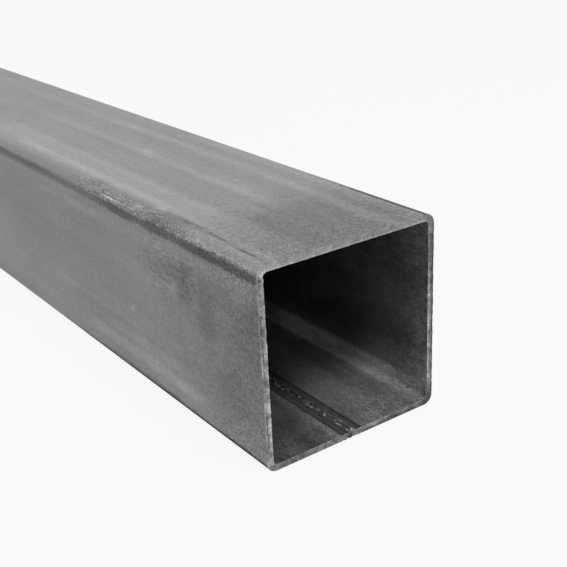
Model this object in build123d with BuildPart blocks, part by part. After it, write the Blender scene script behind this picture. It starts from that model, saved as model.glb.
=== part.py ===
"""Square steel hollow section: a length of cold-formed, electric-resistance-welded
square tube in mill finish, sawn square at both ends.

Millimetres.  +X runs along the tube, +Z is up.  The origin lies under the middle of
the tube, on the plane that its underside rests on.  The weld seam runs along the
inside of the bottom wall.
"""

import os

from build123d import *

# ------------------------------------------------------------------ driving sizes
length = 1000.0              # stock length, cut end to cut end
outside = 60.0               # outside width and height of the section
wall = 2.0                   # wall thickness
corner_radius_outside = 3.0
corner_radius_inside = 1.3

seam_offset = 0.7            # weld line, from the tube's middle towards -Y

# inside of the weld: a low rough bead, shaved on its +Y side, with two scores left
# by the forming rolls on its -Y side
bead_width = 2.4
bead_height = 0.6
shaved_band_width = 1.7      # flat strip beside the bead
shaved_band_depth = 0.15
score_radius = 0.5
score_depth = 0.2
score_from_bead = 0.6        # gap between the bead's foot and the first score's middle
score_pitch = 1.5            # from the first score to the second

# outside of the weld: the flash is planed off, a little below the wall's face
planed_width = 9.0
planed_depth = 0.35

# ------------------------------------------------------------------ derived places
inside = outside - 2 * wall
mid_height = outside / 2
seam_y = -seam_offset
bead_left = seam_y - bead_width / 2
bead_right = seam_y + bead_width / 2
planed_radius = (planed_width**2 / 4 + planed_depth**2) / (2 * planed_depth)

os.makedirs("parts", exist_ok=True)

# Each sketch lies on Plane.YZ: its first axis is the part's Y, its second axis is Z.
with BuildPart() as square_tube:
    with BuildSketch(Plane.YZ.offset(-length / 2)) as section:
        # the wall all round
        with Locations((0, mid_height)):
            RectangleRounded(outside, outside, corner_radius_outside)
            RectangleRounded(inside, inside, corner_radius_inside, mode=Mode.SUBTRACT)

        # flat strip shaved beside the bead
        with Locations((seam_y, wall - shaved_band_depth)):
            Rectangle(
                bead_width / 2 + shaved_band_width,
                shaved_band_depth,
                align=(Align.MIN, Align.MIN),
                mode=Mode.SUBTRACT,
            )

        # scores of the forming rolls
        first_score = bead_left - score_from_bead
        with Locations(
            (first_score, wall - score_depth + score_radius),
            (first_score - score_pitch, wall - score_depth + score_radius),
        ):
            Circle(score_radius, mode=Mode.SUBTRACT)

        # weld bead, rooted in the wall
        with BuildLine():
            crown = ThreePointArc(
                (bead_left, wall),
                (seam_y, wall + bead_height),
                (bead_right, wall),
            )
            Polyline(
                crown @ 1,
                (bead_right, wall / 2),
                (bead_left, wall / 2),
                crown @ 0,
            )
        make_face()

        # planed strip under the weld
        with Locations((seam_y, planed_depth - planed_radius)):
            Circle(planed_radius, mode=Mode.SUBTRACT)
    extrude(amount=length)

square_tube.part.label = "square_tube"
export_step(square_tube.part, "parts/square_tube.step")
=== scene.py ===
"""Square steel tube in mill finish: its rolled skin, bore, weld bead and sawn ends."""

import math

import bmesh
import bpy
from mathutils import Matrix, Vector


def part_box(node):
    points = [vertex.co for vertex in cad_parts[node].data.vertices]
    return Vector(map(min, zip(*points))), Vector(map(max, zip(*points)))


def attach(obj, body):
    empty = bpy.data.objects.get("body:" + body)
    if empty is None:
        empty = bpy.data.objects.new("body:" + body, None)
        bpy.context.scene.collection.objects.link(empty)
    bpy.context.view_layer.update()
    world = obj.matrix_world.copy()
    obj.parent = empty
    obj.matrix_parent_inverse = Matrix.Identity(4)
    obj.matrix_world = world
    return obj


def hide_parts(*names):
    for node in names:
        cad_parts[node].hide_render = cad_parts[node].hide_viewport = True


MM = 0.001

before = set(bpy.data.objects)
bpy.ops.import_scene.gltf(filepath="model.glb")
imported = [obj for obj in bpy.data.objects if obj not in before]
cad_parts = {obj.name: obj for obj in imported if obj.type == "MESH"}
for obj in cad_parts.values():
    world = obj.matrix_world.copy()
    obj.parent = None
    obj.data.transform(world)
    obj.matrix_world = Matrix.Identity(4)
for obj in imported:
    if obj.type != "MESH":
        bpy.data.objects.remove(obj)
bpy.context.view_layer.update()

# ------------------------------------------------------------------ sizes, metres
(X_BACK, Y_LEFT, Z_UNDER), (X_CUT, _, Z_TOP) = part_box("square_tube")
LENGTH = X_CUT - X_BACK
OUTSIDE = Z_TOP - Z_UNDER
MID_X = (X_BACK + X_CUT) / 2
MID_Z = (Z_UNDER + Z_TOP) / 2

WALL = 2.0 * MM
CORNER_RADIUS = 3.0 * MM
INNER_RADIUS = 1.3 * MM
CORNER_SEGMENTS = 7
FLAT = OUTSIDE / 2 - CORNER_RADIUS  # half the flat between two corners
ON_PLANE = 0.1 * MM  # how near to a plane counts as on it

SEAM_Y = -0.7 * MM
# inside of the bottom wall by the weld: (across from the seam, height over the wall)
SEAM_PROFILE = (
    (-4.1 * MM, 0.0),
    (-3.7 * MM, -0.12 * MM),
    (-3.3 * MM, -0.3 * MM),
    (-2.9 * MM, 0.02 * MM),
    (-2.2 * MM, 0.06 * MM),
    (-1.8 * MM, -0.3 * MM),
    (-1.3 * MM, 0.0),
    (0.0, 0.0),
    (1.2 * MM, -0.15 * MM),
    (2.7 * MM, -0.15 * MM),
    (2.95 * MM, -0.2 * MM),
    (3.1 * MM, 0.08 * MM),
    (3.6 * MM, 0.0),
)
# outside, under the weld, where its flash is planed off
PLANED_PROFILE = (
    (-3.3 * MM, 0.16 * MM),
    (-1.8 * MM, 0.3 * MM),
    (0.0, 0.35 * MM),
    (1.2 * MM, 0.32 * MM),
    (2.95 * MM, 0.2 * MM),
)
BEAD_WIDTH = 2.4 * MM
# the bead before it is roughened: (share of its half width, height over its root)
BEAD_PROFILE = ((0, 0.5 * MM), (0.33, 0.42 * MM), (0.62, 0.26 * MM), (0.85, 0.08 * MM))
BEAD_ROOT = 0.05 * MM  # how deep its root lies in the wall
BEAD_GRID = (1400, 8)  # squares along the bead and across it

# The skin's grid along the tube: cuts in the lip at each end, then stretches, each with
# how far from its end it reaches and its pitch. The corner is scuffed in the first.
LIP_CUTS = (0.35 * MM, 0.9 * MM)
LIP_REACH = 1.7 * MM
SCUFF_REACH = 116 * MM
SCUFF_STEP = 1.0 * MM
FRONT_REACH = 216 * MM
FRONT_STEP = 4.0 * MM
BETWEEN_STEP = 20 * MM
BACK_REACH = 20 * MM
BACK_STEP = 2 * MM
# across the tube, its pitch on the sides and the bottom, on the top, by the scuffed
# corner, and in the lips
COARSE = 4.0 * MM
TOP_PITCH = 4.6 * MM
FINE = 0.8 * MM
LIP_PITCH = 0.9 * MM
# how far the fine grid reaches from the scuffed corner, on the top and down the side
FINE_TOP = 8 * MM
FINE_SIDE = 10 * MM


# ------------------------------------------------------------------ hand tools
def only(obj):
    """Selects one object alone and makes it the active one."""
    bpy.ops.object.select_all(action="DESELECT")
    obj.select_set(True)
    bpy.context.view_layer.objects.active = obj


def edit(obj):
    """Opens an object in edit mode with nothing selected."""
    only(obj)
    bpy.ops.object.mode_set(mode="EDIT")
    bpy.ops.mesh.select_all(action="DESELECT")


def close_edit():
    bpy.ops.object.mode_set(mode="OBJECT")


def pick(obj, kind, wanted):
    """Selects the vertices, edges or faces that a test wants."""
    bpy.ops.mesh.select_mode(type=kind)
    mesh = bmesh.from_edit_mesh(obj.data)
    parts = {"VERT": mesh.verts, "EDGE": mesh.edges, "FACE": mesh.faces}[kind]
    for part in parts:
        part.select = wanted(part)
    mesh.select_flush_mode()
    bmesh.update_edit_mesh(obj.data)


def apply_modifier(obj, modifier):
    only(obj)
    bpy.ops.object.modifier_apply(modifier=modifier.name)


def steps(start, stop, pitch):
    """Places from start up to, but not on, stop."""
    count = max(1, round(abs(stop - start) / pitch))
    return [start + (stop - start) * i / count for i in range(count)]


def cut_across(obj, axis, places, wanted):
    """Cuts the wanted faces with a plane at each place along one axis."""
    normal = Vector((0, 0, 0))
    normal[axis] = 1
    edit(obj)
    for place in places:
        pick(obj, "FACE", wanted)
        bpy.ops.mesh.bisect(plane_co=normal * place, plane_no=normal)
    close_edit()


def roughen(obj, name, weight, size, depth, still):
    """Pushes vertices out and in by clouds of one size, as far as weight lets them.

    still is the grey of the clouds that moves nothing.
    """
    group = obj.vertex_groups.new(name=name)
    for vert in obj.data.vertices:
        amount = weight(vert.co)
        if amount > 0:
            group.add([vert.index], amount, "REPLACE")
    clouds = bpy.data.textures.new(name, "CLOUDS")
    clouds.noise_scale = size
    clouds.noise_depth = 3
    push = obj.modifiers.new(name, "DISPLACE")
    push.texture = clouds
    push.texture_coords = "LOCAL"
    push.vertex_group = name
    push.strength = depth
    push.mid_level = still
    apply_modifier(obj, push)


# ------------------------------------------------------------------ the tube's shape
def everywhere(face):
    return True


def looks_along(face):
    """Faces one end of the tube."""
    return abs(face.normal.x) > 0.9


def on_bottom(face):
    return face.calc_center_median().z < Z_UNDER + ON_PLANE


def on_top(face):
    return face.calc_center_median().z > Z_TOP - ON_PLANE


def on_side(face):
    return abs(face.calc_center_median().y) > OUTSIDE / 2 - ON_PLANE


def on_side_by_scuff(face):
    """On the left side, in the strip that the fine grid there takes up."""
    middle = face.calc_center_median()
    return middle.y < Y_LEFT + ON_PLANE and middle.z > Z_TOP - FINE_SIDE - 2 * MM


def on_top_by_scuff(face):
    """On the top, in the strip that the fine grid there takes up."""
    middle = face.calc_center_median()
    return middle.z > Z_TOP - ON_PLANE and middle.y < -FLAT + FINE_TOP + 1 * MM


def by_an_end(face):
    middle = face.calc_center_median()
    return middle.x > X_CUT - LIP_REACH or middle.x < X_BACK + LIP_REACH


def stations_along():
    """Cuts along the tube, close together at the ends and wide apart between."""
    lips = [X_CUT - in_from for in_from in LIP_CUTS]
    lips += [X_BACK + in_from for in_from in reversed(LIP_CUTS)]
    front = steps(X_CUT - LIP_REACH, X_CUT - SCUFF_REACH, SCUFF_STEP)
    front += steps(X_CUT - SCUFF_REACH, X_CUT - FRONT_REACH, FRONT_STEP)
    middle = steps(X_CUT - FRONT_REACH, X_BACK + BACK_REACH, BETWEEN_STEP)
    back = steps(X_BACK + BACK_REACH, X_BACK + LIP_REACH, BACK_STEP)
    return lips + front + middle + back + [X_BACK + LIP_REACH]


def roll_tube():
    """A square skin with rounded corners, cut into a grid and given its wall."""
    bpy.ops.object.select_all(action="DESELECT")
    bpy.ops.mesh.primitive_cube_add(size=1, location=(MID_X, 0, MID_Z))
    tube = bpy.context.object
    tube.name = "tube_wall"
    tube.scale = (LENGTH, OUTSIDE, OUTSIDE)
    bpy.ops.object.transform_apply(location=True, rotation=True, scale=True)

    edit(tube)
    pick(tube, "EDGE", lambda e: abs(e.verts[0].co.x - e.verts[1].co.x) > LENGTH / 2)
    bpy.ops.mesh.bevel(offset=CORNER_RADIUS, segments=CORNER_SEGMENTS, affect="EDGES")
    pick(tube, "FACE", looks_along)
    bpy.ops.mesh.delete(type="ONLY_FACE")
    close_edit()

    cut_across(tube, 0, stations_along(), everywhere)
    # the coarse cuts keep clear of the seam's columns and of the far corner
    seam = [SEAM_Y + across for across, _ in SEAM_PROFILE]
    beside_seam = steps(-FLAT + COARSE, seam[0] - 2 * MM, COARSE)
    beside_seam += steps(seam[-1] + 2 * MM, FLAT - 1 * MM, COARSE)
    cut_across(tube, 1, beside_seam + seam, on_bottom)
    cut_across(tube, 1, steps(-FLAT + FINE_TOP, FLAT, TOP_PITCH), on_top)
    cut_across(tube, 1, steps(-FLAT + FINE, -FLAT + FINE_TOP, FINE), on_top_by_scuff)
    cut_across(tube, 2, steps(CORNER_RADIUS + COARSE, Z_TOP - FINE_SIDE, COARSE), on_side)
    under_scuff = steps(Z_TOP - FINE_SIDE, Z_TOP - CORNER_RADIUS - 0.6 * MM, FINE)
    cut_across(tube, 2, under_scuff, on_side_by_scuff)

    lip = steps(-FLAT, FLAT, LIP_PITCH)
    cut_across(tube, 1, lip, lambda f: by_an_end(f) and not on_side(f))
    cut_across(tube, 2, [place + MID_Z for place in lip], lambda f: by_an_end(f) and on_side(f))

    wall = tube.modifiers.new("wall", "SOLIDIFY")
    wall.thickness = WALL
    wall.offset = -1
    wall.use_even_offset = True
    apply_modifier(tube, wall)

    # Solidify leaves the inner corners too sharp: open their radius out
    edit(tube)
    left_by_wall = CORNER_RADIUS - WALL
    ease = INNER_RADIUS / left_by_wall
    for side in (-1, 1):
        for rise in (-1, 1):
            corner = (MID_X, side * (OUTSIDE / 2 - WALL), MID_Z + rise * (OUTSIDE / 2 - WALL))

            def in_corner(vert):
                """In the square that the sharp radius fills, give or take a hair."""
                across = (corner[1] - vert.co.y) * side / left_by_wall
                upright = (corner[2] - vert.co.z) * rise / left_by_wall
                return -0.01 < across < 1.01 and -0.01 < upright < 1.01

            pick(tube, "VERT", in_corner)
            bpy.ops.transform.resize(value=(1, ease, ease), center_override=corner)
    close_edit()
    return tube


def form_columns(tube, profile, level):
    """Moves the columns of the bottom wall that lie at one level to an outline.

    The outline is pairs of (across from the seam, height over the level).
    """
    edit(tube)
    for across, height in profile:

        def on_column(vert):
            beside = abs(vert.co.y - SEAM_Y - across) < 0.02 * MM
            return beside and abs(vert.co.z - level) < 0.05 * MM

        pick(tube, "VERT", on_column)
        if height:
            bpy.ops.transform.translate(value=(0, 0, height))
    close_edit()


def saw_ends(tube):
    """Gives each sawn end a narrow lip round both its edges, and roughens it."""
    lip = 0.3 * MM
    sunk = 0.12 * MM  # what the rim between the lips gives up, at both ends together
    edit(tube)
    pick(tube, "FACE", looks_along)
    bpy.ops.mesh.inset(thickness=lip, depth=0)
    bpy.ops.transform.resize(
        value=((LENGTH - sunk) / LENGTH, 1, 1),
        center_override=(MID_X, 0, MID_Z),
    )
    close_edit()

    def near_cut(place):
        """Least along the underside, which carries the tube, and along the clean top."""
        if min(X_CUT - place.x, place.x - X_BACK) > ON_PLANE:
            return 0
        if place.z < WALL / 2:
            return 0.25
        return 0.35 if place.z > Z_TOP - 2.2 * MM else 1

    roughen(tube, "saw_burr", near_cut, size=0.9 * MM, depth=0.4 * MM, still=0.45)


def scuff_corner(tube):
    """Pits the upper left corner by the cut, most of all 53 to 96 mm back."""
    reach = SCUFF_REACH / MM
    width = 6.5
    drop = 3.6

    def weight(place):
        back = (X_CUT - place.x) / MM
        across = (place.y - Y_LEFT) / MM
        down = (Z_TOP - place.z) / MM
        if back > reach or back < 0.8 or across > width or down > drop:
            return 0
        along = min(1, (reach - back) / 20) * min(1, 0.12 + back / 60)
        return along * min(1, (width - across) / 2.5)

    roughen(tube, "corner_scuff", weight, size=2.4 * MM, depth=0.3 * MM, still=0.62)


def lay_bead():
    """The rough bead of weld metal that stands on the bottom wall inside."""
    bpy.ops.object.select_all(action="DESELECT")
    bpy.ops.mesh.primitive_grid_add(
        x_subdivisions=BEAD_GRID[0],
        y_subdivisions=BEAD_GRID[1],
        size=1,
        location=(MID_X, SEAM_Y, WALL - BEAD_ROOT),
    )
    bead = bpy.context.object
    bead.name = "weld_bead"
    # it stops just short of both cuts, and its foot reaches a little past its width
    bead.scale = (LENGTH - 0.04 * MM, BEAD_WIDTH + 0.2 * MM, 1)
    bpy.ops.object.transform_apply(location=True, rotation=True, scale=True)

    edit(bead)
    for share, height in BEAD_PROFILE:

        def on_row(vert):
            """Nearer to this row than halfway to the next."""
            return abs(abs(vert.co.y - SEAM_Y) - share * BEAD_WIDTH / 2) < 0.16 * MM

        pick(bead, "VERT", on_row)
        bpy.ops.transform.translate(value=(0, 0, height))
    close_edit()

    def crown(place):
        """Nothing at the wall, all of it from 0.15 mm up."""
        return max(0, min(1, (place.z - WALL) / (0.15 * MM)))

    roughen(bead, "bead_lumps", crown, size=3.0 * MM, depth=0.45 * MM, still=0.5)
    roughen(bead, "bead_crumbs", crown, size=0.8 * MM, depth=0.55 * MM, still=0.5)
    root = bead.modifiers.new("root", "SOLIDIFY")
    root.thickness = 0.35 * MM
    root.offset = -1
    apply_modifier(bead, root)
    return bead


# ------------------------------------------------------------------ node helpers
class Nodes:
    """Adds nodes to one tree. Most of its methods give the new node's output."""

    def __init__(self, tree):
        self.tree = tree

    def feed(self, socket, value):
        if isinstance(value, bpy.types.NodeSocket):
            self.tree.links.new(value, socket)
        else:
            socket.default_value = value

    def add(self, kind, **settings):
        node = self.tree.nodes.new("ShaderNode" + kind)
        for name, value in settings.items():
            setattr(node, name, value)
        return node

    def math(self, operation, first, second=0.0):
        node = self.add("Math", operation=operation)
        self.feed(node.inputs[0], first)
        self.feed(node.inputs[1], second)
        return node.outputs[0]

    def vector(self, operation, first, second):
        node = self.add("VectorMath", operation=operation)
        self.feed(node.inputs[0], first)
        self.feed(node.inputs[1], second)
        return node.outputs[0]

    def scaled(self, vector, factor):
        node = self.add("VectorMath", operation="SCALE")
        self.feed(node.inputs[0], vector)
        self.feed(node.inputs["Scale"], factor)
        return node.outputs[0]

    def split(self, vector):
        node = self.add("SeparateXYZ")
        self.feed(node.inputs[0], vector)
        return node.outputs

    def ramp(self, value, low, high, start=0.0, end=1.0):
        """Goes smoothly from start to end as the value goes from low to high."""
        node = self.add("MapRange", interpolation_type="SMOOTHSTEP")
        for socket, number in zip(node.inputs, (value, low, high, start, end)):
            self.feed(socket, number)
        return node.outputs[0]

    def noise(self, place, size, detail, roughness):
        """Noise with features of about the given size, in mm, along each axis."""
        node = self.add("TexNoise")
        grid = tuple(1.0 / (length * MM) for length in size)
        self.feed(node.inputs["Vector"], self.vector("MULTIPLY", place, grid))
        self.feed(node.inputs["Scale"], 1.0)
        self.feed(node.inputs["Detail"], detail)
        self.feed(node.inputs["Roughness"], roughness)
        return node.outputs[0]

    def bump(self, height, depth, normal=None):
        node = self.add("Bump")
        node.inputs["Strength"].default_value = 1.0
        node.inputs["Distance"].default_value = depth * MM
        self.feed(node.inputs["Height"], height)
        if normal is not None:
            self.feed(node.inputs["Normal"], normal)
        return node.outputs[0]


def new_group(name, inputs, outputs):
    """A node group with named sockets. Gives its helper, its inputs and its results."""
    tree = bpy.data.node_groups.new(name, "ShaderNodeTree")
    for label, kind in inputs:
        tree.interface.new_socket(label, in_out="INPUT", socket_type="NodeSocket" + kind)
    for label in outputs:
        tree.interface.new_socket(label, in_out="OUTPUT", socket_type="NodeSocketFloat")
    given = tree.nodes.new("NodeGroupInput")
    result = tree.nodes.new("NodeGroupOutput")
    return Nodes(tree), given.outputs, result.inputs


def steel_grain_group():
    """What rolling leaves in steel: long streaks, clouds, speckle and fine grit."""
    outputs = ("Streaks", "Fine Streaks", "Clouds", "Speckle", "Grit", "Wander", "Ragged")
    nodes, given, result = new_group("steel_grain", (("Place", "Vector"),), outputs)
    place = given["Place"]
    nodes.feed(result["Streaks"], nodes.noise(place, (160, 4.5, 4.5), 2.0, 0.5))
    nodes.feed(result["Fine Streaks"], nodes.noise(place, (34, 1.1, 1.1), 2.0, 0.6))
    nodes.feed(result["Clouds"], nodes.noise(place, (30, 13, 13), 3.0, 0.55))
    nodes.feed(result["Speckle"], nodes.noise(place, (1.9, 1.3, 1.3), 2.0, 0.7))
    nodes.feed(result["Grit"], nodes.noise(place, (0.6, 0.5, 0.5), 1.0, 0.5))
    # Ragged is Wander with small bits in it, both of them about 0.5
    share = 0.45
    wander = nodes.noise(place, (13, 7, 7), 5.0, 0.66)
    bits = nodes.math("MULTIPLY", nodes.noise(place, (1.6, 1.2, 1.2), 2.0, 0.7), share)
    both = nodes.math("ADD", wander, bits)
    nodes.feed(result["Wander"], wander)
    nodes.feed(result["Ragged"], nodes.math("SUBTRACT", both, share / 2))
    return nodes.tree


def mark_group():
    """A patch with soft, ragged ends and sides, as stains and streaks have."""
    inputs = (
        ("Place", "Vector"),
        ("Ragged", "Float"),
        ("Centre", "Vector"),
        ("Half Size", "Vector"),
        ("End Fade", "Float"),
        ("Side Fade", "Float"),
        ("Ragged End", "Float"),
        ("Ragged Side", "Float"),
    )
    nodes, given, result = new_group("mark", inputs, ("Mask",))
    away = nodes.add("VectorMath", operation="ABSOLUTE")
    nodes.feed(away.inputs[0], nodes.vector("SUBTRACT", given["Place"], given["Centre"]))
    over = nodes.split(nodes.vector("SUBTRACT", away.outputs[0], given["Half Size"]))
    # Ragged swings by about a quarter either way: make that 1
    push = nodes.math("MULTIPLY", nodes.math("SUBTRACT", given["Ragged"], 0.5), 4.0)
    masks = []
    for reach, side in ((over[0], "End"), (nodes.math("MAXIMUM", over[1], over[2]), "Side")):
        moved = nodes.math("ADD", reach, nodes.math("MULTIPLY", push, given["Ragged " + side]))
        fade = given[side + " Fade"]
        masks.append(nodes.ramp(moved, nodes.math("MULTIPLY", fade, -1.0), fade, 1.0, 0.0))
    nodes.feed(result["Mask"], nodes.math("MULTIPLY", *masks))
    return nodes.tree


# ------------------------------------------------------------------ finishes
class Finish:
    """One steel finish: a tone that marks lighten or darken, with grain over it."""

    def __init__(self, name, metallic):
        self.material = bpy.data.materials.new(name)
        self.material.use_nodes = True
        self.nodes = Nodes(self.material.node_tree)
        self.shader = self.material.node_tree.nodes["Principled BSDF"]
        self.shader.inputs["Metallic"].default_value = metallic
        self.place = self.nodes.add("TexCoord").outputs["Object"]
        grain = self.nodes.add("Group", node_tree=bpy.data.node_groups["steel_grain"])
        self.nodes.feed(grain.inputs["Place"], self.place)
        self.grain = grain.outputs
        # the tone starts at about 1, with faint clouds
        self.tone = self.nodes.math("MULTIPLY_ADD", self.grain["Clouds"], 0.1)
        self.tone.node.inputs[2].default_value = 0.95

    def mask(self, centre, half, fade, ragged):
        """1 where a mark lies, else 0. All in mm: centre is x back from the cut, y, z."""
        node = self.nodes.add("Group", node_tree=bpy.data.node_groups["mark"])
        middle = (X_CUT - centre[0] * MM, centre[1] * MM, centre[2] * MM)
        values = {
            "Place": self.place,
            "Ragged": self.grain["Ragged"],
            "Centre": middle,
            "Half Size": tuple(size * MM for size in half),
            "End Fade": fade[0] * MM,
            "Side Fade": fade[1] * MM,
            "Ragged End": ragged[0] * MM,
            "Ragged Side": ragged[1] * MM,
        }
        for name, value in values.items():
            self.nodes.feed(node.inputs[name], value)
        return node.outputs["Mask"]

    def multiply(self, factor):
        self.tone = self.nodes.math("MULTIPLY", self.tone, factor)

    def lighten(self, mask, gain):
        """Multiplies the tone by gain where the mask is 1."""
        change = self.nodes.math("MULTIPLY", mask, gain - 1.0)
        self.multiply(self.nodes.math("ADD", change, 1.0))

    def mark_all(self, marks):
        for centre, half, fade, ragged, gain in marks:
            self.lighten(self.mask(centre, half, fade, ragged), gain)

    def vary(self, noise, amount, mask=None):
        """Lightens and darkens the tone by noise about 0.5."""
        swing = self.nodes.math("SUBTRACT", noise, 0.5)
        swing = self.nodes.math("MULTIPLY", swing, amount)
        if mask is not None:
            swing = self.nodes.math("MULTIPLY", swing, mask)
        self.multiply(self.nodes.math("ADD", swing, 1.0))

    def close(self, shade, roughness, bump):
        """Joins the tone to the shader, as a grey of the given shade."""
        colour = self.nodes.scaled((shade, shade, shade), self.tone)
        self.nodes.feed(self.shader.inputs["Base Color"], colour)
        self.nodes.feed(self.shader.inputs["Roughness"], roughness)
        self.nodes.feed(self.shader.inputs["Normal"], bump)
        return self.material


ALL = 400  # a half size, mm, that takes in the whole section
WHOLE = 1100  # a half size, mm, that takes in the whole length from the cut
BACK = 1000  # the back cut, mm back from the cut
SEAM = SEAM_Y / MM  # the weld line, in mm as marks are

# Marks, in mm: centre (x back from the cut, y, z), half size, fade and raggedness of
# its ends and sides, and its gain, which darkens below 1 and lightens above 1.
TOP_MARKS = (
    # dark scale by the cut: the whole width, its core, narrow strips and a spot
    ((0, 1, 60), (37, 24, 4), (9, 2), (7, 1.5), 0.78),
    ((0, 0.5, 60), (32, 12.5, 4), (6, 1.6), (9, 2), 0.74),
    ((0, 19.5, 60), (27, 1.6, 4), (5, 0.8), (5, 0.5), 0.80),
    ((0, 23.6, 60), (22, 1.6, 4), (6, 0.8), (5, 0.5), 0.88),
    ((44, 10, 60), (4, 3.0, 4), (4, 2), (3, 2), 0.90),
    # light streaks and flecks of the rolls
    ((98, 17.3, 60), (64, 2.0, 3), (14, 2.2), (14, 1.3), 1.17),
    ((68, 25.5, 60), (42, 1.8, 3), (12, 1.0), (8, 0.5), 1.17),
    ((36, 16.5, 60), (24, 1.4, 3), (8, 1.0), (8, 0.7), 1.08),
    ((115, 2.0, 60), (76, 2.0, 3), (14, 1.4), (14, 0.8), 1.20),
    ((115, 3.4, 60), (4, 2.4, 3), (2.5, 1.5), (1, 0.8), 1.18),
    ((110, -18.2, 60), (85, 5.2, 3), (14, 1.6), (14, 1.0), 1.24),
    ((108, -23.0, 60), (60, 2.0, 3), (12, 1.2), (10, 0.7), 1.20),
    ((12, -2.7, 60), (12, 1.0, 3), (6, 0.8), (4, 0.5), 1.10),
    ((64, 7, 60), (14, 8, 3), (10, 3), (8, 2), 1.05),
    ((20, -21.5, 60), (20, 2.6, 3), (10, 1.2), (6, 0.7), 1.06),
    # double dark line on the far corner, and a spot beside it
    ((0, 26.9, 60), (30, 0.32, 2), (10, 0.14), (6, 0.10), 0.26),
    ((0, 28.35, 60), (46, 0.75, 2), (16, 0.16), (10, 0.12), 0.22),
    ((12, 21.5, 60), (4, 0.8, 2), (3, 0.5), (3, 0.6), 0.80),
    # broken scratch beside the scuffed corner
    ((37, -24.6, 60), (6, 0.25, 2), (3, 0.3), (5, 0.6), 0.55),
    ((24, -25.2, 60), (4, 0.25, 2), (2, 0.25), (3, 0.6), 0.50),
    ((9, -25.9, 60), (3.6, 0.42, 2), (1.5, 0.25), (3, 0.4), 0.40),
    ((1, -26.4, 60), (2.0, 0.2, 2), (1, 0.2), (1, 0.3), 0.55),
    ((18, -25.4, 60), (20, 0.9, 2), (6, 0.6), (5, 0.9), 0.87),
    ((30, -23.5, 60), (5, 0.15, 2), (2, 0.2), (3, 0.5), 0.75),
)
LEFT_MARKS = (
    # dark scale by the cut, as overlapping stains that run down the side
    ((0, -30, 31), (42, 4, 20), (14, 7), (12, 5), 0.77),
    ((37, -30, 44), (3.5, 4, 7), (3.0, 4), (3, 3), 0.72),
    ((25, -30, 38), (4.0, 4, 9), (4.0, 4), (3, 3), 0.72),
    ((14.5, -30, 36), (2.4, 4, 10), (2.5, 4), (2, 3), 0.82),
    ((6, -30, 37), (6, 4, 10), (4, 4), (4, 3), 0.74),
    ((2, -30, 36), (4, 4, 14), (2, 4), (2, 3), 0.88),
    ((8, -30, 18), (12, 4, 6), (5, 3), (5, 2), 0.84),
    ((47, -30, 45), (13, 4, 4), (6, 2), (6, 2), 0.82),
    ((58, -30, 16), (5, 4, 2.4), (3, 2), (3, 2), 0.90),
    ((0, -30, 10), (26, 4, 8), (8, 3), (8, 2), 0.90),
    # light streaks and a fleck of the rolls, and a faint shade over the whole height
    ((68, -30, 9.2), (36, 4, 2.0), (14, 1.4), (12, 1.0), 1.34),
    ((140, -30, 30), (78, 4, ALL), (26, 2), (10, 0), 0.91),
    ((41, -30, 8.0), (6, 4, 1.6), (4, 1.0), (2, 0.6), 1.14),
    ((62, -30, 14), (24, 4, 1.5), (10, 1.4), (10, 1.0), 1.14),
    ((95, -30, 19.6), (32, 4, 0.8), (10, 0.7), (8, 0.4), 1.12),
    ((98, -30, 51.0), (18, 4, 2.0), (8, 1.2), (8, 0.8), 1.12),
    ((71, -30, 25), (1.3, 4, 1.0), (1.2, 0.9), (0.6, 0.5), 1.3),
    # painted shade as a dark band under the scuffed corner, a light streak and a painted dark
    # patch below it
    ((0, -30, 56.4), (WHOLE, 4, 1.15), (20, 0.45), (0, 0.5), 0.56),
    ((158, -30, 57.4), (40, 4, 0.9), (18, 0.45), (6, 0.3), 0.66),
    ((34, -30, 56.2), (54, 4, 1.2), (12, 0.45), (8, 0.6), 0.60),
    ((72, -30, 56.0), (10, 4, 1.4), (5, 0.5), (4, 0.6), 0.62),
    ((51, -30, 56.2), (5, 4, 1.5), (3, 0.5), (3, 0.7), 0.74),
    ((30, -30, 55.8), (8, 4, 1.6), (4, 0.5), (4, 0.8), 0.70),
    ((8, -30, 55.8), (9, 4, 1.3), (4, 0.5), (4, 0.6), 0.84),
    ((110, -30, 50.8), (22, 4, 0.5), (8, 0.5), (8, 0.5), 1.10),
    ((22, -30, 56.2), (5, 4, 1.2), (4, 0.5), (4, 0.4), 0.82),
    # painted shade: a dark patch by the cut, under the band
    ((0, -30, 51.5), (4.0, 4, 4.5), (3.0, 2), (1.5, 1), 0.78),
    # painted shade as a dark patch over the lower corner, faint shade down the side
    ((66, -30, 2.9), (26, 4, 0.9), (8, 0.7), (6, 0.8), 0.60),
    ((18, -30, 30), (8, 4, 20), (5, 4), (4, 3), 0.93),
)
RIGHT_MARKS = (
    # scale by the cut and by the back cut
    ((0, 30, 33), (30, 4, 18), (13, 7), (12, 5), 0.80),
    ((20, 30, 44), (5, 4, 8), (4, 4), (4, 3), 0.80),
    ((BACK, 30, 26), (22, 4, 18), (10, 6), (9, 5), 0.76),
    ((985, 30, 36), (4, 4, 9), (3, 4), (4, 3), 0.80),
    # streaks of the rolls, painted shade as a dark line beside the upper corner, a stain
    ((500, 30, 12), (520, 3, 2.4), (60, 1.6), (30, 1.1), 1.14),
    ((430, 30, 40), (330, 3, 6), (90, 3), (30, 1.8), 0.92),
    # painted shade under the upper corner
    ((500, 30, 56.4), (520, 3, 1.0), (40, 0.5), (20, 0.5), 0.72),
    ((610, 30, 24), (30, 3, 9), (22, 6), (16, 5), 0.87),
)
UNDER_MARKS = (
    # scale by the cut, streaks of the rolls
    ((0, 5, 0), (34, 19, 2), (10, 4), (9, 3), 0.80),
    ((12, -16, 0), (10, 6, 2), (6, 3), (6, 3), 0.84),
    ((500, 16, 0), (520, 3, 2), (60, 1.6), (30, 1.2), 1.12),
    ((500, -15, 0), (400, 5, 2), (90, 3), (30, 1.8), 0.92),
)
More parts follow.
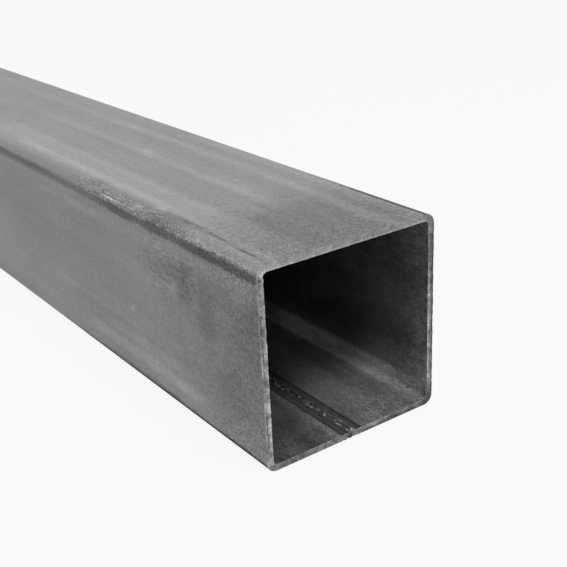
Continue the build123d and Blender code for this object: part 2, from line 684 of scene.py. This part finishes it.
# further back: fainter streaks along the whole length, stains, scale by the back cut
TOP_FAR_MARKS = (
    ((560, 17.3, 60), (420, 2.2, 3), (90, 2.2), (30, 1.3), 1.10),
    ((520, -17.5, 60), (360, 4.0, 3), (90, 2.4), (30, 1.2), 1.09),
    ((600, 5, 60), (330, 5.0, 3), (90, 2.6), (30, 1.4), 0.93),
    ((395, 6, 60), (26, 10, 3), (22, 4), (14, 4), 0.87),
    ((770, 29, 59.6), (26, 3.0, 2.0), (12, 0.8), (10, 1.4), 0.82),
    ((BACK, 4, 60), (24, 20, 4), (10, 2.5), (10, 3), 0.76),
)
LEFT_FAR_MARKS = (
    ((560, -30, 9.2), (430, 3, 2.2), (80, 1.6), (30, 1.1), 1.13),
    ((640, -30, 42), (300, 3, 5), (90, 3), (30, 1.6), 0.92),
    ((700, -30, 30), (34, 3, 10), (24, 6), (16, 5), 0.88),
    ((BACK, -30, 34), (24, 4, 16), (10, 6), (9, 5), 0.76),
)
# painted shade as a dark line round the lower left corner, and where two corners are made dull:
# the lower one under that painted shade, the far upper one under its dirt. Those two have no gain
# of their own
LOWER_LINE = (
    ((26, -30, 0.6), (38, 1.5, 1.9), (26, 0.6), (16, 0.4), 0.44),
    ((48, -30, 0.6), (66, 1.5, 1.9), (40, 0.6), (20, 0.4), 0.40),
    ((0, -30, 0.6), (WHOLE, 1.2, 1.4), (3, 0.6), (0, 0.4), 0.62),
)
LOWER_DULL = ((40, -30, 0.6), (80, 1.8, 2.2), (34, 0.6), (16, 0.3))
UPPER_DIRT = ((0, 28.0, 60), (46, 1.5, 2), (16, 0.3), (10, 0.1))
# the scuffed corner: dark 40 to 97 mm back and once halfway along, bright by the cut with a
# painted highlight along its edge there, and its largest bright flakes
SCUFF_MARKS = (
    ((68, -29, 59.6), (28, 4.2, 2.2), (9, 0.8), (8, 1.8), 0.88),
    ((93, -25.6, 60), (3.6, 1.8, 2), (2, 0.8), (2, 1.0), 0.84),
    ((47, -27, 60), (7, 3.4, 2.2), (4, 0.8), (4, 1.6), 0.72),
    ((505, -29, 59.6), (34, 3.2, 2.0), (14, 0.8), (10, 1.4), 0.80),
    ((18, -29.6, 59.6), (26, 2.4, 1.8), (9, 0.6), (8, 0.8), 1.10),
    # painted highlight: a narrow bright line along the corner's edge by the cut
    ((9, -29.75, 58.9), (16, 0.35, 0.45), (8, 0.15), (4, 0.1), 1.28),
    ((73, -29.7, 59.0), (10.5, 0.4, 0.4), (2, 0.2), (3, 0.3), 2.6),
    ((77, -28.9, 59.8), (5, 0.3, 0.3), (2, 0.2), (2, 0.3), 1.9),
    ((90, -29.0, 59.8), (3, 0.3, 0.3), (2, 0.2), (2, 0.3), 1.7),
    ((56, -24.3, 60), (2.5, 0.8, 0.5), (2, 0.5), (2, 0.6), 1.4),
    ((64, -28.3, 60), (2.5, 1.0, 0.8), (1.5, 0.4), (2, 0.8), 1.6),
)
# painted light and shade in the bore: its walls shade it and light falls in at the open end
BORE_LIGHT_AND_SHADE = (
    # the bottom wall: painted shade left of the weld, where the left wall shades it, painted light
    # right of it further in, and painted light and shade in patches by the cut
    ((0, -17, 2), (WHOLE, 11, 6), (3, 2), (0, 1.5), 0.50),
    ((3, -7.0, 2), (8, 4, 3), (5, 2.5), (4, 2), 1.6),
    ((8, -12.5, 2), (12, 3, 3), (6, 3), (4, 3), 0.78),
    ((2, -20, 2), (6, 2, 3), (3, 2), (3, 2), 1.4),
    ((44, 17, 2), (24, 11, 4), (18, 3), (5, 2), 1.45),
    ((9, 12, 2), (8, 8, 3), (5, 3), (4, 2), 1.14),
    # painted light: a light strip round the right inner corner
    ((34, 25.6, 2), (26, 1.8, 0.8), (18, 1.8), (4, 0), 1.3),
    ((45, 28, 4.2), (34, 3, 2.3), (14, 0.9), (4, 0), 1.85),
    ((72, 27, 3.6), (34, 3, 2.6), (12, 1.2), (4, 0), 1.7),
    # the right wall: painted shade over it, deepest in and under the top wall, and painted light
    # by the cut and low down
    ((0, 28, 34), (WHOLE, 3, 26), (3, 3), (0, 2), 0.64),
    ((17, 28, 34), (3.5, 3, 7), (3, 4), (3, 3), 1.25),
    ((0, 28, 30), (8, 3, 40), (7, 3), (3, 0), 1.45),
    ((12, 28, 9), (12, 3, 5), (7, 4), (3, 1), 1.2),
    ((60, 28, 36), (34, 3, 26), (10, 4), (4, 2), 0.55),
    ((16, 28, 52), (10, 3, 8), (6, 4), (3, 2), 0.75),
    ((30, 28, 50), (18, 3, 10), (10, 5), (5, 2), 0.74),
    ((23, 28, 11), (13, 3, 5), (7, 4), (4, 2), 1.25),
    ((19, 26.5, 3.2), (11, 3, 2.2), (8, 1.2), (4, 0), 1.20),
)
# the shaved strip, its edge and the two scores
WELD_MARKS = (
    ((0, SEAM + 1.9, 2), (WHOLE, 1.3, 2), (3, 0.4), (0, 0.25), 0.8),
    ((0, SEAM + 3.0, 2), (WHOLE, 0.2, 2), (3, 0.2), (0, 0.2), 0.6),
    ((0, SEAM - 1.8, 2), (WHOLE, 0.3, 2), (3, 0.3), (0, 0.2), 0.55),
    ((0, SEAM - 3.3, 2), (WHOLE, 0.25, 2), (3, 0.3), (0, 0.2), 0.6),
)
# the bead is bright where it is sawn through, and lighter just behind
BEAD_MARKS = (
    ((0, 0, 2), (1.4, ALL, ALL), (1.0, 1), (0.5, 0), 2.6),
    ((7, 0, 2), (10, ALL, ALL), (6, 1), (3, 0), 1.4),
)
SAWN_MARKS = (
    # duller right and below, with a dark outer edge and dark spots up the right wall
    ((0, 29, 28), (4, 1.6, 32), (3, 0.4), (0, 0.1), 0.66),
    ((0, 0, 1), (4, 31, 1.3), (3, 0.4), (0, 0.1), 0.62),
    ((0, 18, 0), (4, 15, 0.9), (3, 0.4), (0, 0.3), 0.50),
    ((0, 28.6, 2.6), (4, 2.4, 4), (3, 0.8), (0, 0.4), 0.58),
    ((0, 30, 30), (4, 0.45, 28), (3, 0.2), (0, 0.1), 0.40),
    ((0, 29, 51), (4, 1.6, 8), (3, 2.0), (0, 1.0), 0.84),
    ((0, 29, 40), (4, 0.9, 1.2), (3, 0.8), (0, 0.5), 0.62),
    ((0, 28.8, 34), (4, 0.8, 1.0), (3, 0.7), (0, 0.5), 0.66),
    ((0, 29.2, 24), (4, 0.7, 1.6), (3, 0.8), (0, 0.5), 0.62),
    ((0, 29, 17), (4, 1.0, 1.1), (3, 0.8), (0, 0.5), 0.66),
    # brighter on the left, over the left part of the top and along the right wall
    ((0, -29.9, 38), (4, 0.35, 9), (3, 0.15), (0, 0.1), 1.15),
    ((0, -28.6, 58.6), (4, 1.6, 1.6), (3, 0.5), (0, 0.4), 1.3),
    ((0, -17, 59), (4, 10, 1.2), (3, 3.0), (0, 2.0), 1.16),
    ((0, -29, 20), (4, 2, 1.4), (3, 1.0), (0, 0.6), 1.3),
    ((0, 28.5, 28), (4, 0.5, 17), (3, 0.3), (0, 0.4), 1.7),
)


def pit_scuffed_corner(skin):
    """Bright flakes and dark pits in the scuffed corner. Gives the flakes' height."""
    nodes = skin.nodes
    skin.mark_all(SCUFF_MARKS)
    scuff = skin.mask((40, -30.2, 60.2), (60, 4.2, 2.7), (16, 0.6), (10, 1.2))
    # band is where the painted shade under the corner lies; the pits break it up
    band = skin.mask((30, -30, 56.2), (70, 4, 1.8), (20, 0.6), (10, 0.6))
    flakes = nodes.noise(skin.place, (2.2, 0.9, 0.9), 5.0, 0.85)
    pits = nodes.noise(skin.place, (1.0, 0.6, 0.6), 2.0, 0.6)
    # the scuffs ease off towards the cut, from 58 to 36 mm back
    along = nodes.split(skin.place)[0]
    worn = nodes.ramp(along, X_CUT - 58 * MM, X_CUT - 36 * MM, 1.0, 0.3)
    worn = nodes.math("MULTIPLY", worn, scuff)
    skin.vary(flakes, 2.4, worn)
    skin.vary(pits, 2.6, worn)
    skin.vary(pits, 3.6, band)
    bright = nodes.ramp(flakes, 0.60, 0.68)
    skin.lighten(nodes.math("MULTIPLY", bright, worn), 1.9)
    specks = nodes.noise(skin.place, (0.8, 0.5, 0.5), 1.0, 0.5)
    dotted = skin.mask((44, -29.4, 59.4), (16, 2.2, 1.6), (6, 0.6), (5, 0.8))
    skin.lighten(nodes.math("MULTIPLY", nodes.ramp(specks, 0.60, 0.68), dotted), 1.9)
    return nodes.math("MULTIPLY", flakes, scuff)


def mill_skin(name, marks, scuffed, dull_corner):
    """Cold-rolled outside: satin grey, streaked along the tube, scaled by the cuts."""
    skin = Finish(name, metallic=0.35)
    nodes, grain = skin.nodes, skin.grain
    skin.vary(grain["Streaks"], 0.22)
    skin.vary(grain["Fine Streaks"], 0.10)
    # these marks hold stains and streaks, and on the sides and underside also painted shade along
    # the corners
    skin.mark_all(marks)
    # the scale by both cuts is the most speckled
    near = skin.mask((0, 0, 30), (20, ALL, ALL), (50, 50), (14, 0))
    back = skin.mask((BACK, 0, 30), (14, ALL, ALL), (34, 50), (12, 0))
    near = nodes.math("MAXIMUM", near, back)
    if scuffed:
        # the corner just by the cut is rubbed smooth
        rubbed = skin.mask((14, -29, 59.5), (24, 5, 2.2), (10, 1.5), (6, 1.0))
        near = nodes.math("MULTIPLY", near, nodes.ramp(rubbed, 0.0, 1.0, 1.0, 0.35))
    skin.vary(grain["Speckle"], nodes.ramp(near, 0.0, 1.0, 0.6, 2.0))
    skin.vary(grain["Grit"], nodes.ramp(near, 0.0, 1.0, 0.4, 2.6))
    normal = nodes.bump(grain["Speckle"], 0.05)
    roughness = nodes.ramp(grain["Clouds"], 0.3, 0.7, 0.44, 0.56)
    if scuffed:
        smears = nodes.noise(skin.place, (3.0, 0.9, 0.9), 3.0, 0.75)
        smeared = skin.mask((46, -30, 46), (15, 4, 7), (7, 4), (6, 3))
        skin.vary(smears, 2.2, smeared)
        normal = nodes.bump(pit_scuffed_corner(skin), 0.25, normal)
    if dull_corner:
        # a dark corner line is dull as well as dark: dirt on the far upper corner, painted shade
        # on the lower one
        dull = nodes.math("MULTIPLY", skin.mask(*dull_corner), 0.44)
        roughness = nodes.math("ADD", roughness, dull)
    return skin.close(shade=0.30, roughness=roughness, bump=normal)


def bore_skin():
    """Inside of the tube: dull dark scale, clouded and grainy. Its grey, darker than the
    outside's, is partly painted shade.
    """
    bore = Finish("bore_skin", metallic=0.2)
    nodes, grain = bore.nodes, bore.grain
    bore.vary(grain["Streaks"], 0.3)
    bore.vary(grain["Clouds"], 0.8)
    bore.vary(grain["Wander"], 0.8)
    rim = bore.mask((0, 0, 30), (14, ALL, ALL), (26, 50), (5, 0))
    bore.vary(grain["Speckle"], nodes.ramp(rim, 0.0, 1.0, 0.9, 2.2))
    bore.vary(grain["Grit"], nodes.ramp(rim, 0.0, 1.0, 0.8, 2.6))
    bore.vary(grain["Ragged"], 1.3, rim)
    # the bore's painted light and shade
    bore.mark_all(BORE_LIGHT_AND_SHADE)
    motes = nodes.noise(bore.place, (0.9, 0.9, 0.9), 1.0, 0.5)
    bore.lighten(nodes.ramp(motes, 0.72, 0.78), 1.8)
    roughness = nodes.ramp(grain["Clouds"], 0.3, 0.7, 0.5, 0.62)
    grainy = nodes.bump(grain["Speckle"], 0.06)
    # the grey of 0.235, darker than the outside's 0.30, is partly painted shade inside the tube
    return bore.close(shade=0.235, roughness=roughness, bump=grainy)


def weld_skin():
    """The scores and the shaved strip beside the bead."""
    weld = Finish("weld_skin", metallic=0.3)
    nodes, grain = weld.nodes, weld.grain
    weld.vary(grain["Fine Streaks"], 0.8)
    weld.vary(grain["Speckle"], 1.2)
    weld.vary(grain["Grit"], 0.8)
    weld.mark_all(WELD_MARKS)
    grainy = nodes.bump(grain["Speckle"], 0.06)
    return weld.close(shade=0.155, roughness=0.5, bump=grainy)


def bead_metal():
    """The weld bead itself: dark crumbs with bright glints."""
    bead = Finish("bead_metal", metallic=0.4)
    nodes = bead.nodes
    crumbs = nodes.noise(bead.place, (1.7, 1.0, 1.0), 3.0, 0.75)
    bead.vary(crumbs, 3.2)
    bead.lighten(nodes.ramp(crumbs, 0.55, 0.62), 3.6)
    bead.mark_all(BEAD_MARKS)
    return bead.close(shade=0.12, roughness=0.42, bump=nodes.bump(crumbs, 0.3))


def sawn_steel():
    """Sawn ends of the wall: bright, with tooth marks and a broken dark line."""
    sawn = Finish("sawn_steel", metallic=0.45)
    nodes, grain = sawn.nodes, sawn.grain
    place = nodes.split(sawn.place)
    # the top wall is cut the cleanest
    clean = nodes.ramp(place[2], Z_TOP - 2.8 * MM, Z_TOP - 2.0 * MM)
    sawn.vary(grain["Grit"], nodes.ramp(clean, 0.0, 1.0, 1.6, 1.2))
    sawn.vary(grain["Wander"], nodes.ramp(clean, 0.0, 1.0, 2.4, 1.1))
    teeth = nodes.noise(sawn.place, (0.6, 2.2, 2.6), 3.0, 0.75)
    sawn.vary(teeth, nodes.ramp(clean, 0.0, 1.0, 3.4, 1.7))
    sawn.mark_all(SAWN_MARKS)
    # distance in from the outer edge, mm, and a broken dark line a third of the way in,
    # with the inner half of the wall brighter
    across = nodes.math("ABSOLUTE", place[1])
    upright = nodes.math("ABSOLUTE", nodes.math("SUBTRACT", place[2], MID_Z))
    reach = nodes.math("MAXIMUM", across, upright)
    depth = nodes.math("MULTIPLY", nodes.math("SUBTRACT", OUTSIDE / 2, reach), 1 / MM)
    broad = nodes.noise(sawn.place, (6, 6, 6), 2.0, 0.5)
    wobble = nodes.math("MULTIPLY", nodes.math("SUBTRACT", broad, 0.5), 1.2)
    off_line = nodes.math("SUBTRACT", depth, nodes.math("ADD", wobble, 0.65))
    line = nodes.ramp(nodes.math("ABSOLUTE", off_line), 0.1, 0.32, 1.0, 0.0)
    upper = sawn.mask((0, -29, 37), (4, 2, 9), (3, 1.5), (0, 2))
    lower = sawn.mask((0, -29, 14), (4, 2, 5), (3, 1.5), (0, 2))
    sawn.lighten(nodes.math("MULTIPLY", line, nodes.math("MAXIMUM", upper, lower)), 0.42)
    sawn.lighten(nodes.ramp(depth, 1.2, 1.8), 1.3)
    # the weld shows as a dark slanted line across the bottom wall
    lean = nodes.math("SUBTRACT", nodes.math("MULTIPLY", place[2], 0.6), place[1])
    off_weld = nodes.math("ABSOLUTE", nodes.math("SUBTRACT", lean, 1.6 * MM))
    low = nodes.ramp(place[2], 2.4 * MM, 2.8 * MM, 1.0, 0.0)
    weld_line = nodes.math("MULTIPLY", nodes.ramp(off_weld, 0.1 * MM, 0.4 * MM, 1.0, 0.0), low)
    sawn.lighten(weld_line, 0.5)
    roughness = nodes.ramp(teeth, 0.3, 0.7, 0.35, 0.5)
    return sawn.close(shade=0.34, roughness=roughness, bump=nodes.bump(teeth, 0.08))


def dress(tube):
    """Gives each face the finish of its place."""
    finishes = {
        "top": mill_skin("mill_top", TOP_MARKS + TOP_FAR_MARKS, True, UPPER_DIRT),
        "left": mill_skin("mill_left", LEFT_MARKS + LEFT_FAR_MARKS + LOWER_LINE, True, LOWER_DULL),
        "right": mill_skin("mill_right", RIGHT_MARKS, False, None),
        "under": mill_skin("mill_under", UNDER_MARKS + LOWER_LINE, False, LOWER_DULL),
        "bore": bore_skin(),
        "weld": weld_skin(),
        "sawn": sawn_steel(),
    }
    for finish in finishes.values():
        tube.data.materials.append(finish)
    slots = list(finishes)
    seam_low = SEAM_Y + SEAM_PROFILE[0][0]
    seam_high = SEAM_Y + SEAM_PROFILE[-1][0]

    def place_of(middle, normal):
        upright = abs(middle.z - MID_Z)
        if abs(normal.x) > 0.6:
            return "sawn"
        if max(abs(middle.y), upright) < OUTSIDE / 2 - WALL / 2:
            by_weld = seam_low < middle.y < seam_high and middle.z < WALL + 1 * MM
            return "weld" if by_weld else "bore"
        if abs(normal.z) > 0.5:
            return "top" if normal.z > 0 else "under"
        return "left" if middle.y < 0 else "right"

    for face in tube.data.polygons:
        face.material_index = slots.index(place_of(face.center, face.normal))


# ------------------------------------------------------------------ room
CAMERA_AZIMUTH = math.radians(55.06)
CAMERA_RISE = math.radians(23.02)
CAMERA_ROLL = math.radians(2.88)
# in tube widths, from under the middle of the cut
CAMERA_PLACE = Vector((3.148, -2.564, 2.522)) * OUTSIDE + Vector((X_CUT, 0, 0))
LENS = 63.18  # mm
SENSOR = 36  # mm

# name, place, what it points at, width in metres, watts
LAMPS = (
    ("overhead", (1.1, 0.25, 1.3), (0.45, 0, 0), 0.9, 5.2),
    ("overhead_key", (1.2, -0.15, 1.35), (0.45, 0, 0), 0.4, 4.8),
    ("overhead_back", (0.2, 0.2, 1.3), (0.35, 0, 0), 1.2, 2.6),
    ("left_fill", (0.3, -1.3, 0.7), (0.4, 0, 0), 1.2, 3.3),
)
FLOOR_SIZE = 60  # metres
FLOOR_GREY = 0.85
FLOOR_GLOW = 0.91  # how much of the floor, seen directly or mirrored, is plain white


def make_camera():
    data = bpy.data.cameras.new("camera")
    data.sensor_width = SENSOR
    data.lens = LENS
    camera = bpy.data.objects.new("camera", data)
    bpy.context.collection.objects.link(camera)
    back = Vector((
        math.sin(CAMERA_AZIMUTH) * math.cos(CAMERA_RISE),
        -math.cos(CAMERA_AZIMUTH) * math.cos(CAMERA_RISE),
        math.sin(CAMERA_RISE),
    ))
    turn = back.to_track_quat("Z", "Y").to_matrix().to_4x4()
    camera.matrix_world = (
        Matrix.Translation(CAMERA_PLACE) @ turn @ Matrix.Rotation(-CAMERA_ROLL, 4, "Z")
    )
    data.clip_start = 0.01
    bpy.context.scene.camera = camera


def area_lamp(name, place, aim, size, watts):
    """A round soft lamp that points at a place."""
    data = bpy.data.lights.new(name, "AREA")
    data.shape = "DISK"
    data.size = size
    data.energy = watts
    lamp = bpy.data.objects.new(name, data)
    bpy.context.collection.objects.link(lamp)
    lamp.location = place
    lamp.rotation_euler = (Vector(place) - Vector(aim)).to_track_quat("Z", "Y").to_euler()


def seen_or_mirrored(tree):
    """1 for rays from the camera and for rays that reflect or pass through, else 0."""
    path = tree.nodes.new("ShaderNodeLightPath")
    reflected = tree.nodes.new("ShaderNodeMath")
    reflected.operation = "MAXIMUM"
    tree.links.new(path.outputs["Is Glossy Ray"], reflected.inputs[0])
    tree.links.new(path.outputs["Is Transmission Ray"], reflected.inputs[1])
    either = tree.nodes.new("ShaderNodeMath")
    either.operation = "MAXIMUM"
    tree.links.new(path.outputs["Is Camera Ray"], either.inputs[0])
    tree.links.new(reflected.outputs[0], either.inputs[1])
    return either.outputs[0]


def make_world():
    """White to the camera and in reflections. It sheds no other light on the scene."""
    world = bpy.data.worlds.new("studio")
    bpy.context.scene.world = world
    world.use_nodes = True
    tree = world.node_tree
    tree.nodes.clear()
    output = tree.nodes.new("ShaderNodeOutputWorld")
    mix = tree.nodes.new("ShaderNodeMixShader")
    unlit = tree.nodes.new("ShaderNodeBackground")
    white = tree.nodes.new("ShaderNodeBackground")
    for background, strength in ((unlit, 0.0), (white, 1.0)):
        background.inputs["Color"].default_value = (1, 1, 1, 1)
        background.inputs["Strength"].default_value = strength
    tree.links.new(seen_or_mirrored(tree), mix.inputs[0])
    tree.links.new(unlit.outputs[0], mix.inputs[1])
    tree.links.new(white.outputs[0], mix.inputs[2])
    tree.links.new(mix.outputs[0], output.inputs["Surface"])


def make_floor():
    """Pale matt floor. Seen directly or mirrored, most of it is plain white."""
    bpy.ops.object.select_all(action="DESELECT")
    bpy.ops.mesh.primitive_plane_add(size=FLOOR_SIZE, location=(0, 0, 0))
    floor = bpy.context.object
    floor.name = "floor"
    material = bpy.data.materials.new("pale_floor")
    material.use_nodes = True
    tree = material.node_tree
    shader = tree.nodes["Principled BSDF"]
    shader.inputs["Base Color"].default_value = (FLOOR_GREY, FLOOR_GREY, FLOOR_GREY, 1)
    shader.inputs["Roughness"].default_value = 0.9
    glow = tree.nodes.new("ShaderNodeEmission")
    glow.inputs["Color"].default_value = (1, 1, 1, 1)
    mix = tree.nodes.new("ShaderNodeMixShader")
    part = tree.nodes.new("ShaderNodeMath")
    part.operation = "MULTIPLY"
    part.inputs[1].default_value = FLOOR_GLOW
    tree.links.new(seen_or_mirrored(tree), part.inputs[0])
    tree.links.new(part.outputs[0], mix.inputs[0])
    tree.links.new(shader.outputs[0], mix.inputs[1])
    tree.links.new(glow.outputs[0], mix.inputs[2])
    tree.links.new(mix.outputs[0], tree.nodes["Material Output"].inputs["Surface"])
    floor.data.materials.append(material)


# ------------------------------------------------------------------ the whole
steel_grain_group()
mark_group()

tube = roll_tube()
form_columns(tube, SEAM_PROFILE, WALL)
form_columns(tube, PLANED_PROFILE, Z_UNDER)
saw_ends(tube)
scuff_corner(tube)
dress(tube)
bead = lay_bead()
bead.data.materials.append(bead_metal())
for piece in (tube, bead):
    only(piece)
    bpy.ops.object.shade_smooth_by_angle(angle=math.radians(40))
    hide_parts("square_tube")
    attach(piece, "root")

make_floor()
make_world()
for lamp in LAMPS:
    area_lamp(*lamp)
make_camera()
bpy.context.scene.view_settings.view_transform = "Standard"
